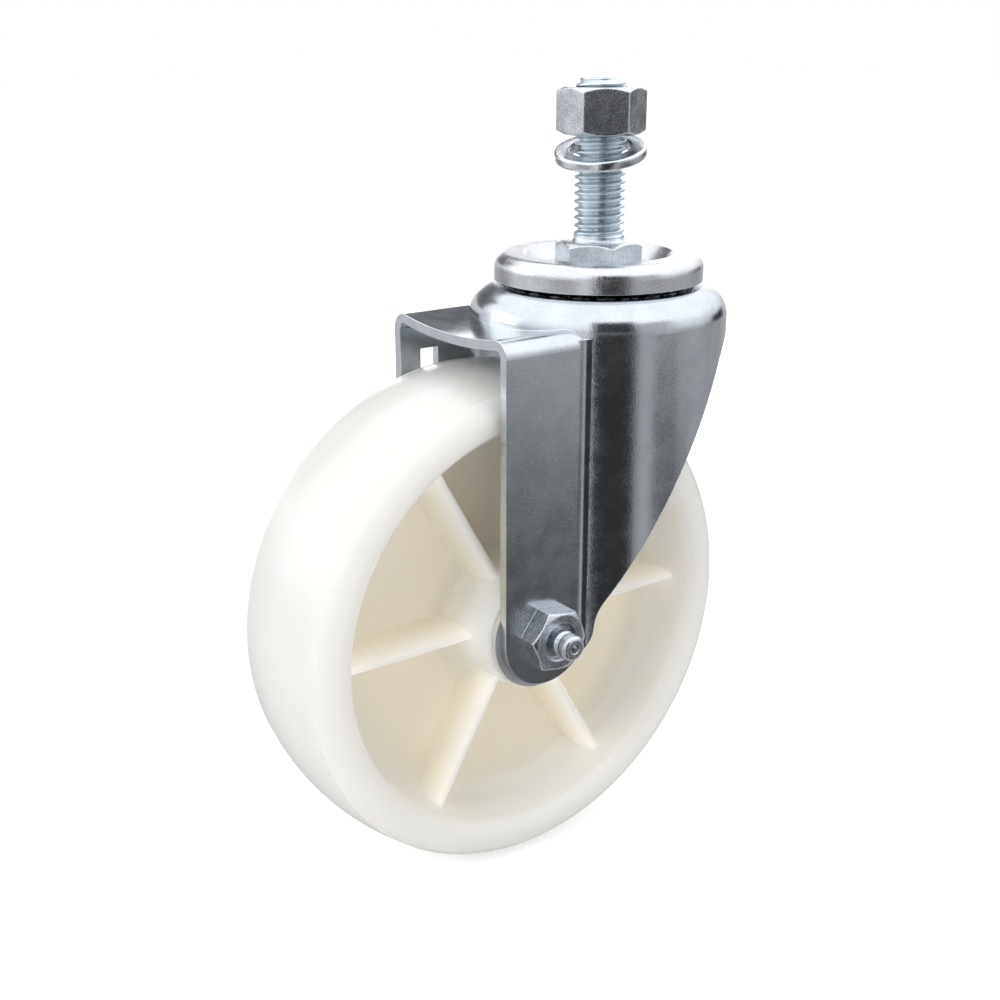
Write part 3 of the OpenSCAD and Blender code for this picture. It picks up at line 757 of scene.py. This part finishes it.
@dataclass
class Stem:
    """Threaded stem on its collar, with the nut and the tilted spring washer."""

    radius: float = 6.35 * MM
    length: float = 38.7 * MM
    pitch: float = 1.954 * MM
    depth: float = 1.15 * MM
    neck: float = 1.5 * MM
    sunk: float = 0.4 * MM
    washer_r: float = 11.45 * MM
    washer_bore_r: float = 7.25 * MM
    washer_t: float = 2.6 * MM
    washer_z: float = 21.3 * MM
    washer_tilt: float = 15.0
    washer_lean: float = 213.0
    washer_gap: float = 1.2 * MM
    washer_round: float = 0.75 * MM
    washer_steps: int = 120
    corner_steps: int = 5

    def build(self, finishes: Finishes) -> None:
        """Builds and dresses the stem, its nut and its washer.

        Args:
            finishes: the materials.
        """
        self.threaded_rod(finishes)
        self.spring_washer(finishes.washer)
        finish_nodes(finishes.turned, "stem_nut")

    def threaded_rod(self, finishes: Finishes) -> None:
        """Winds the thread over the collar and joins it to the collar, kingpin and riveted foot.

        Args:
            finishes: the materials; the thread is rolled and duller than the turned collar.
        """
        weld, seat, skin = 0.001 * MM, 0.01 * MM, 0.1 * MM
        rod = mesh_object("stem_thread", np.zeros((0, 3)), [])
        run_geometry(rod, thread_tree(), {
            "Radius": self.radius, "Depth": self.depth, "Pitch": self.pitch,
            "Bottom": -self.sunk, "Plain Neck": self.neck, "Top": self.length,
            "Finish": finishes.rolled})
        collar = bmesh.new()
        collar.from_mesh(frame["nodes"]["threaded_stem"].data)
        bmesh.ops.remove_doubles(collar, verts=collar.verts, dist=weld)
        above = [f for f in collar.faces if f.calc_center_median().z > seat]
        bmesh.ops.delete(collar, geom=above, context="FACES")
        rims = [e for e in collar.edges if e.is_boundary]
        bmesh.ops.holes_fill(collar, edges=rims, sides=0)
        lower = bpy.data.meshes.new("collar")
        collar.to_mesh(lower)
        collar.free()
        whole = bmesh.new()
        whole.from_mesh(rod.data)
        whole.from_mesh(lower)
        whole.to_mesh(rod.data)
        whole.free()
        tidy_mesh(rod, sharp=35.0)
        dress(rod, finishes.turned)
        rod.data.materials.append(finishes.rolled)
        for face in rod.data.polygons:
            on_thread = face.center.xy.length < self.radius + skin
            face.material_index = int(face.center.z > self.neck / 2 and on_thread)
        settle(rod, Part.STEM, Slot.BAR, "threaded_stem")

    def spring_washer(self, material: bpy.types.Material) -> None:
        """Sweeps the split washer's rounded section round its hole and tilts it on the thread.

        Args:
            material: the washer's finish.
        """
        half, soft = self.washer_t / 2, self.washer_round
        inner, outer = self.washer_bore_r + soft, self.washer_r - soft
        section = []
        for r, z, start in ((outer, half - soft, 0), (inner, half - soft, 90),
                            (inner, soft - half, 180), (outer, soft - half, 270)):
            for k in range(self.corner_steps + 1):
                angle = math.radians(start + 90 * k / self.corner_steps)
                section.append((r + soft * math.cos(angle), z + soft * math.sin(angle)))
        steps, count = self.washer_steps, len(section)
        half_gap = self.washer_gap / 2 / self.washer_bore_r
        corners, faces = [], []
        for i in range(steps + 1):
            turn = math.pi + half_gap + (2 * math.pi - 2 * half_gap) * i / steps
            corners += [(r * math.cos(turn), r * math.sin(turn), z) for r, z in section]
        for i in range(steps):
            for k in range(count):
                a, b = i * count + k, i * count + (k + 1) % count
                faces.append((a, b, b + count, a + count))
        faces.append(tuple(range(count))[::-1])
        faces.append(tuple(range(steps * count, (steps + 1) * count)))
        washer = mesh_object("split_washer", np.array(corners), faces)
        washer.data.transform(
            Matrix.Translation((0, 0, self.washer_z))
            @ Matrix.Rotation(math.radians(self.washer_lean), 4, "Z")
            @ Matrix.Rotation(math.radians(self.washer_tilt), 4, "Y"))
        tidy_mesh(washer, sharp=40.0)
        dress(washer, material)
        settle(washer, Part.WASHER, Slot.SHEET, "spring_washer")


@dataclass
class SwivelHead:
    """Pressed cap over the balls, the two ball rings and the riveted race, as in the CAD."""

    def build(self, finishes: Finishes) -> None:
        """Dresses the head's pieces, which keep their shapes.

        Args:
            finishes: the materials.
        """
        finish_nodes(finishes.cap, "top_cap")
        finish_nodes(finishes.pressed, "lower_race")
        finish_nodes(finishes.bearing, "upper_balls", "lower_balls")


@dataclass
class Fork:
    """Deep-drawn fork, axle bolt, nut, grease nipple and what the legs clamp, as in the CAD."""

    def build(self, finishes: Finishes) -> None:
        """Dresses the fork's pieces, which keep their shapes.

        Args:
            finishes: the materials.
        """
        finish_nodes(finishes.pressed, "fork", "roller_cage")
        finish_nodes(finishes.turned, "axle_bolt", "axle_nut", "grease_nipple")
        finish_nodes(finishes.dull, "thrust_washer_near", "thrust_washer_far")
        finish_nodes(finishes.bearing, "check_ball", "axle_sleeve", "bearing_rollers",
                     "hub_liner")


def rib_tree() -> bpy.types.NodeTree:
    """Builds the tree that raises soft-flanked ribs out of the wheel's web.

    Returns:
        The geometry node group.
    """
    number = "NodeSocketFloat"
    graph, given, out = geometry_group("wheel_ribs", {
        "Ribs": ("NodeSocketInt", 6), "Crest": (number, 13.0 * MM),
        "Foot Thickness": (number, 10.0 * MM), "Blend": (number, 1.6 * MM),
        "Sweep": (number, 1.15), "Finish": ("NodeSocketMaterial", None)})
    add, less, times, over = graph.sums()
    recess = graph.node("GeometryNodeInputNamedAttribute", {"Name": "recess"},
                        data_type="FLOAT").outputs["Attribute"]
    x, y, z = graph.split(graph.node("GeometryNodeInputPosition").outputs[0])
    reach = graph.math("SQRT", add(times(x, x), times(z, z)))
    sector = over(2 * math.pi, given["Ribs"])
    turn = graph.math("ARCTAN2", z, x)
    offset = graph.math("WRAP", turn, times(sector, 0.5), times(sector, -0.5))
    aside = graph.math("ABSOLUTE", times(reach, graph.math("SINE", offset)))
    share = graph.math("DIVIDE", aside, times(given["Foot Thickness"], 0.5), clamp=True)
    swung = graph.math("COSINE", times(graph.math("POWER", share, given["Sweep"]), math.pi))
    level = times(graph.math("MULTIPLY_ADD", swung, 0.5, 0.5), given["Crest"])
    lifted = graph.math("SMOOTH_MAX", graph.math("ABSOLUTE", y), level, given["Blend"])
    lifted = times(lifted, graph.math("SIGN", y))
    mixed = add(times(lifted, recess), times(y, less(1.0, recess)))
    moved = graph.node("GeometryNodeSetPosition", {
        "Geometry": given["Geometry"], "Position": graph.join(x, mixed, z)})
    return close_group(graph, moved.outputs[0], given["Finish"], out)


def line(start: Point, end: Point, steps: int) -> list[Point]:
    """Returns points from start towards end, without the end."""
    return [(start[0] + (end[0] - start[0]) * k / steps,
             start[1] + (end[1] - start[1]) * k / steps) for k in range(steps)]


def arc(x: float, y: float, r: float, first: float, last: float, steps: int) -> list[Point]:
    """Returns points round the centre x, y from the first angle to the last, without the last."""
    return [(x + r * math.cos(first + (last - first) * k / steps),
             y + r * math.sin(first + (last - first) * k / steps)) for k in range(steps)]


@dataclass
class Wheel:
    """Moulded wheel: crowned tread, rounded shoulders, recessed web with ribs, and the hub."""

    centre: Vector
    radius: float = 63.5 * MM
    shoulder_r: float = 5.2 * MM
    shoulder_at: float = 56.4 * MM
    shoulder_y: float = 14.4 * MM
    lip_r: float = 51.9 * MM
    rim_draft: float = 14.0
    web_half: float = 3.5 * MM
    web_fillet: float = 9.0 * MM
    hub_r: float = 14.8 * MM
    hub_y: float = 19.2 * MM
    hub_draft: float = 9.0
    hub_fillet: float = 6.0 * MM
    hub_round: float = 0.5 * MM
    bore_r: float = 12.33 * MM
    bore_from: float = 0.4 * MM
    ribs: int = 6
    rib_steps: int = 34
    rib_crowding: float = 1.8
    line_at: float = 18.0
    line_half: float = 3.2
    line_height: float = 0.13 * MM
    line_profile: tuple[float, ...] = (0.0, 0.5, 1.0, 0.5)

    def build(self, finishes: Finishes) -> None:
        """Spins the section, raises the ribs and dresses the wheel.

        Args:
            finishes: the materials.
        """
        side, recess = self.side()
        section = np.array([*side, *[(r, -y) for r, y in reversed(side)]])
        marks = np.array([*recess, *reversed(recess)], float)
        angles = self.angles()
        columns, rows = len(angles), len(section)
        radius, level = section[:, 0], section[:, 1]
        corners = np.stack([
            np.outer(np.cos(angles), radius), np.tile(level, (columns, 1)),
            np.outer(np.sin(angles), radius)], axis=2)
        index = np.arange(columns * rows).reshape(columns, rows)
        right, up = np.roll(index, -1, axis=0), np.roll(index, -1, axis=1)
        corner = np.roll(right, -1, axis=1)
        faces = np.stack([index, up, corner, right], axis=2).reshape(-1, 4)
        wheel = mesh_object("moulded_wheel", corners.reshape(-1, 3), faces.tolist())
        mark = wheel.data.attributes.new("recess", "FLOAT", "POINT")
        mark.data.foreach_set("value", np.tile(marks, columns))
        run_geometry(wheel, rib_tree(), {"Ribs": self.ribs, "Finish": finishes.polymer})
        wheel.data.transform(Matrix.Translation(self.centre))
        tidy_mesh(wheel, sharp=40.0)
        dress(wheel, finishes.polymer)
        settle(wheel, Part.WHEEL, Slot.POLYMER, "wheel")

    def side(self) -> tuple[list[Point], list[float]]:
        """Draws the section of one side, from the bore out to the middle of the tread.

        The last number of each line or arc is how many steps it has.

        Returns:
            The points (radius, height) and, for each, 1 if it is in the recess that ribs cross.
        """
        up, rim, hub = math.pi / 2, math.radians(self.rim_draft), math.radians(self.hub_draft)
        corner_r, corner_y = self.shoulder_at, self.shoulder_y
        lip_y = corner_y + math.sqrt(self.shoulder_r ** 2 - (corner_r - self.lip_r) ** 2)
        hub_out = self.hub_r + math.tan(hub) * (self.hub_y - self.web_half)
        wall_in = self.lip_r - math.tan(rim) * (lip_y - self.web_half)
        hub_run = self.hub_fillet * math.tan((up - hub) / 2)
        rim_run = self.web_fillet * math.tan((up - rim) / 2)
        hub_foot, rim_foot = hub_out + hub_run, wall_in - rim_run
        flank = (hub_out - math.sin(hub) * hub_run, self.web_half + math.cos(hub) * hub_run)
        wall = (wall_in + math.sin(rim) * rim_run, self.web_half + math.cos(rim) * rim_run)
        depth = self.radius - corner_r
        crown = depth ** 2 + corner_y ** 2 - self.shoulder_r ** 2
        crown /= 2 * (depth - self.shoulder_r)
        blend = math.asin(corner_y / (crown - self.shoulder_r))
        face_r, face_y = self.hub_r - self.hub_round, self.hub_y - self.hub_round
        lip_turn = math.atan2(lip_y - corner_y, self.lip_r - corner_r)
        before = math.radians(self.line_at + self.line_half)
        after = math.radians(self.line_at - self.line_half)
        bore_and_face = [
            *line((self.bore_r, self.bore_from), (self.bore_r, self.hub_y), 6),
            *line((self.bore_r, self.hub_y), (face_r, self.hub_y), 3),
            *arc(face_r, face_y, self.hub_round, up, 0.0, 4)]
        recess = [
            *line((self.hub_r, face_y), flank, 12),
            *arc(hub_foot, self.web_half + self.hub_fillet, self.hub_fillet,
                 math.pi + hub, 3 * up, 10),
            *line((hub_foot, self.web_half), (rim_foot, self.web_half), 16),
            *arc(rim_foot, self.web_half + self.web_fillet, self.web_fillet,
                 3 * up, 4 * up - rim, 12),
            *line(wall, (self.lip_r, lip_y), 6)]
        outside = arc(corner_r, corner_y, self.shoulder_r, lip_turn, before, 17)
        for k, share in enumerate(self.line_profile):
            turn = before + (after - before) * k / len(self.line_profile)
            raised = self.shoulder_r + share * self.line_height
            outside += arc(corner_r, corner_y, raised, turn, after, 1)
        outside += arc(corner_r, corner_y, self.shoulder_r, after, blend, 2)
        outside += arc(self.radius - crown, 0.0, crown, blend, 0.0, 12)
        marks = [0.0] * len(bore_and_face) + [1.0] * len(recess) + [0.0] * len(outside)
        return bore_and_face + recess + outside, marks

    def angles(self) -> np.ndarray:
        """Lists the section's angles round the axle, closest together at the ribs.

        Returns:
            The angles, in radians.
        """
        sector = 2 * math.pi / self.ribs
        share = np.arange(self.rib_steps + 1) / self.rib_steps
        half = sector / 2 * share ** self.rib_crowding
        one = np.concatenate([half, (sector - half[1:-1])[::-1]])
        return np.concatenate([one + k * sector for k in range(self.ribs)])


@dataclass(frozen=True)
class Card:
    """A soft-edged card round the castor, by its azimuth and height seen from there, in degrees."""

    azimuth: float
    height: float
    half_width: float
    half_height: float
    tone: float
    soft: float

    def over(self, graph: Graph, tone: Socket, azimuth: Socket, height: Socket) -> Socket:
        """Lays the card over what stands behind it.

        Args:
            graph: the world's graph.
            tone: the brightness behind the card.
            azimuth: the direction's azimuth.
            height: the direction's height.

        Returns:
            The brightness with the card.
        """
        _, less, times, _ = graph.sums()
        aside = graph.math("WRAP", less(azimuth, self.azimuth), 180.0, -180.0)
        wide = graph.ramp(graph.math("ABSOLUTE", aside), self.half_width + self.soft,
                          self.half_width)
        above = graph.math("ABSOLUTE", less(height, self.height))
        tall = graph.ramp(above, self.half_height + self.soft, self.half_height)
        return graph.math("MULTIPLY_ADD", times(wide, tall), less(self.tone, tone), tone)


CARDS = (
    Card(azimuth=76, height=20, half_width=28, half_height=11, tone=0.18, soft=3),
    Card(azimuth=52, height=-1, half_width=14, half_height=7, tone=2.4, soft=6),
    Card(azimuth=138, height=-12, half_width=20, half_height=14, tone=0.75, soft=12),
    Card(azimuth=-5, height=-13, half_width=12, half_height=7, tone=0.42, soft=6),
    Card(azimuth=2, height=-1, half_width=11, half_height=3, tone=0.06, soft=4),
    Card(azimuth=-78, height=12, half_width=12, half_height=10, tone=0.60, soft=14),
    Card(azimuth=-66, height=-44, half_width=9, half_height=29, tone=0.20, soft=5),
    Card(azimuth=-50, height=-49, half_width=9, half_height=28, tone=0.12, soft=6),
    Card(azimuth=-142, height=-20, half_width=7, half_height=28, tone=0.90, soft=4),
    Card(azimuth=-115, height=-30, half_width=17, half_height=66, tone=0.04, soft=5),
    Card(azimuth=-86, height=-36, half_width=2.5, half_height=34, tone=0.50, soft=5),
    Card(azimuth=138, height=13, half_width=14, half_height=8, tone=2.0, soft=6),
    Card(azimuth=-117, height=0, half_width=14, half_height=3, tone=0.20, soft=3),
    Card(azimuth=108, height=-10, half_width=6, half_height=5, tone=0.28, soft=6),
)


@dataclass(frozen=True)
class Lamp:
    """A soft round light that the metal doesn't mirror."""

    name: str
    place: Triple
    size: float
    power: float
    colour: Triple = (1.0, 1.0, 1.0)

    def hang(self, aim: Vector) -> None:
        """Hangs the light.

        Args:
            aim: the point that it shines at.
        """
        data = bpy.data.lights.new(self.name, "AREA")
        data.shape, data.size = "DISK", self.size
        data.energy, data.color = self.power, self.colour
        lamp = stand(self.name, data, Vector(self.place), aim)
        lamp.visible_glossy = False


LAMPS = (
    Lamp("key", place=(-1.0, -0.2, 0.70), size=0.7, power=4.5),
    Lamp("fill", place=(0.35, -0.95, 0.35), size=0.7, power=1.0, colour=(1.0, 0.98, 0.95)),
    Lamp("top", place=(0.05, 0.25, 1.05), size=0.9, power=3.0),
)


def stand(name: str, data: bpy.types.ID, place: Vector, aim: Vector) -> bpy.types.Object:
    """Stands a light or a camera somewhere and turns it to a point.

    Args:
        name: the object's name.
        data: the light or the camera.
        place: where it stands.
        aim: the point that it looks at.

    Returns:
        The linked object.
    """
    made = bpy.data.objects.new(name, data)
    bpy.context.scene.collection.objects.link(made)
    made.location = place
    made.rotation_euler = (aim - place).to_track_quat("-Z", "Y").to_euler()
    return made


@dataclass
class Studio:
    """Pale floor, soft light and the camera at the photograph's viewing angle."""

    floor_z: float
    floor_reach: float = 6.0
    eye: Vector = Vector((-0.22331, -0.25968, 0.04819))
    aim: Vector = Vector((-0.0158, 0.01998, -0.0709))
    lens: float = 48.86
    sensor: float = 36.0
    low_height: float = -18.0
    high_height: float = 32.0
    low_tone: float = 0.42
    high_tone: float = 1.5
    blue: float = 1.03
    room: float = 0.60

    def build(self) -> None:
        """Makes the floor, the lights, the surroundings and the camera."""
        self.floor()
        for lamp in LAMPS:
            lamp.hang(self.aim)
        self.surroundings()
        self.camera()

    def floor(self) -> None:
        """Lays the floor under the wheel, out of the metal's reflections."""
        reach = self.floor_reach
        corners = np.array([(x, y, self.floor_z) for x, y in (
            (-reach, -reach), (reach, -reach), (reach, reach), (-reach, reach))])
        floor = mesh_object("floor", corners, [(0, 1, 2, 3)])
        dress(floor, PaleFloor().material())
        floor.visible_glossy = False
        floor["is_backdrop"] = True

    def surroundings(self) -> None:
        """Surrounds the castor with even light, and with the tones that its metal shows.

        The metal sees a grey that grows lighter upwards, with the cards on it, and the camera
        sees white.
        """
        world = bpy.data.worlds.new("studio")
        bpy.context.scene.world = world
        world.use_nodes = True
        world.node_tree.nodes.clear()
        graph = Graph(world.node_tree)
        x, y, z = graph.split(graph.node("ShaderNodeTexCoord").outputs["Generated"])
        azimuth = graph.math("MULTIPLY", graph.math("ARCTAN2", y, x), 180 / math.pi)
        height = graph.math("MULTIPLY", graph.math("ARCSINE", z), 180 / math.pi)
        tone = graph.ramp(height, self.low_height, self.high_height, self.low_tone,
                          self.high_tone)
        for card in CARDS:
            tone = card.over(graph, tone, azimuth, height)
        mirrored = graph.node("ShaderNodeCombineColor", {
            "Red": tone, "Green": tone, "Blue": graph.math("MULTIPLY", tone, self.blue)})
        mirror, room, paper = (
            graph.node("ShaderNodeBackground", {"Color": colour, "Strength": strength}).outputs[0]
            for colour, strength in ((mirrored.outputs[0], 1.0), (WHITE, self.room), (WHITE, 1.0)))
        rays = graph.node("ShaderNodeLightPath")
        lit = graph.node("ShaderNodeMixShader", {
            0: rays.outputs["Is Glossy Ray"], 1: room, 2: mirror})
        seen = graph.node("ShaderNodeMixShader", {
            0: rays.outputs["Is Camera Ray"], 1: lit.outputs[0], 2: paper})
        graph.node("ShaderNodeOutputWorld", {"Surface": seen.outputs[0]})

    def camera(self) -> None:
        """Sets the camera where the photograph was taken from."""
        data = bpy.data.cameras.new("camera")
        data.lens, data.sensor_width = self.lens, self.sensor
        data.clip_start, data.clip_end = 0.01, 20.0
        bpy.context.scene.camera = stand("camera", data, self.eye, self.aim)


def main() -> None:
    """Builds and dresses each sub-assembly in order and reports each piece."""
    logging.basicConfig(level=logging.INFO, format="%(name)s: %(message)s")
    for made in list(bpy.data.objects):
        if made.name in ("Cube", "Light", "Camera"):
            bpy.data.objects.remove(made)
    spin = next(j for j in frame["joints"] if j["name"] == "wheel_spin")
    centre = Vector(spin["pos_m"])
    model_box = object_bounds()
    finishes = Finishes.build(centre)
    Stem().build(finishes)
    SwivelHead().build(finishes)
    Fork().build(finishes)
    Wheel(centre).build(finishes)
    Studio(floor_z=model_box[0].z).build()
    bpy.context.scene.view_settings.view_transform = "Standard"


if __name__ == "__main__":
    main()
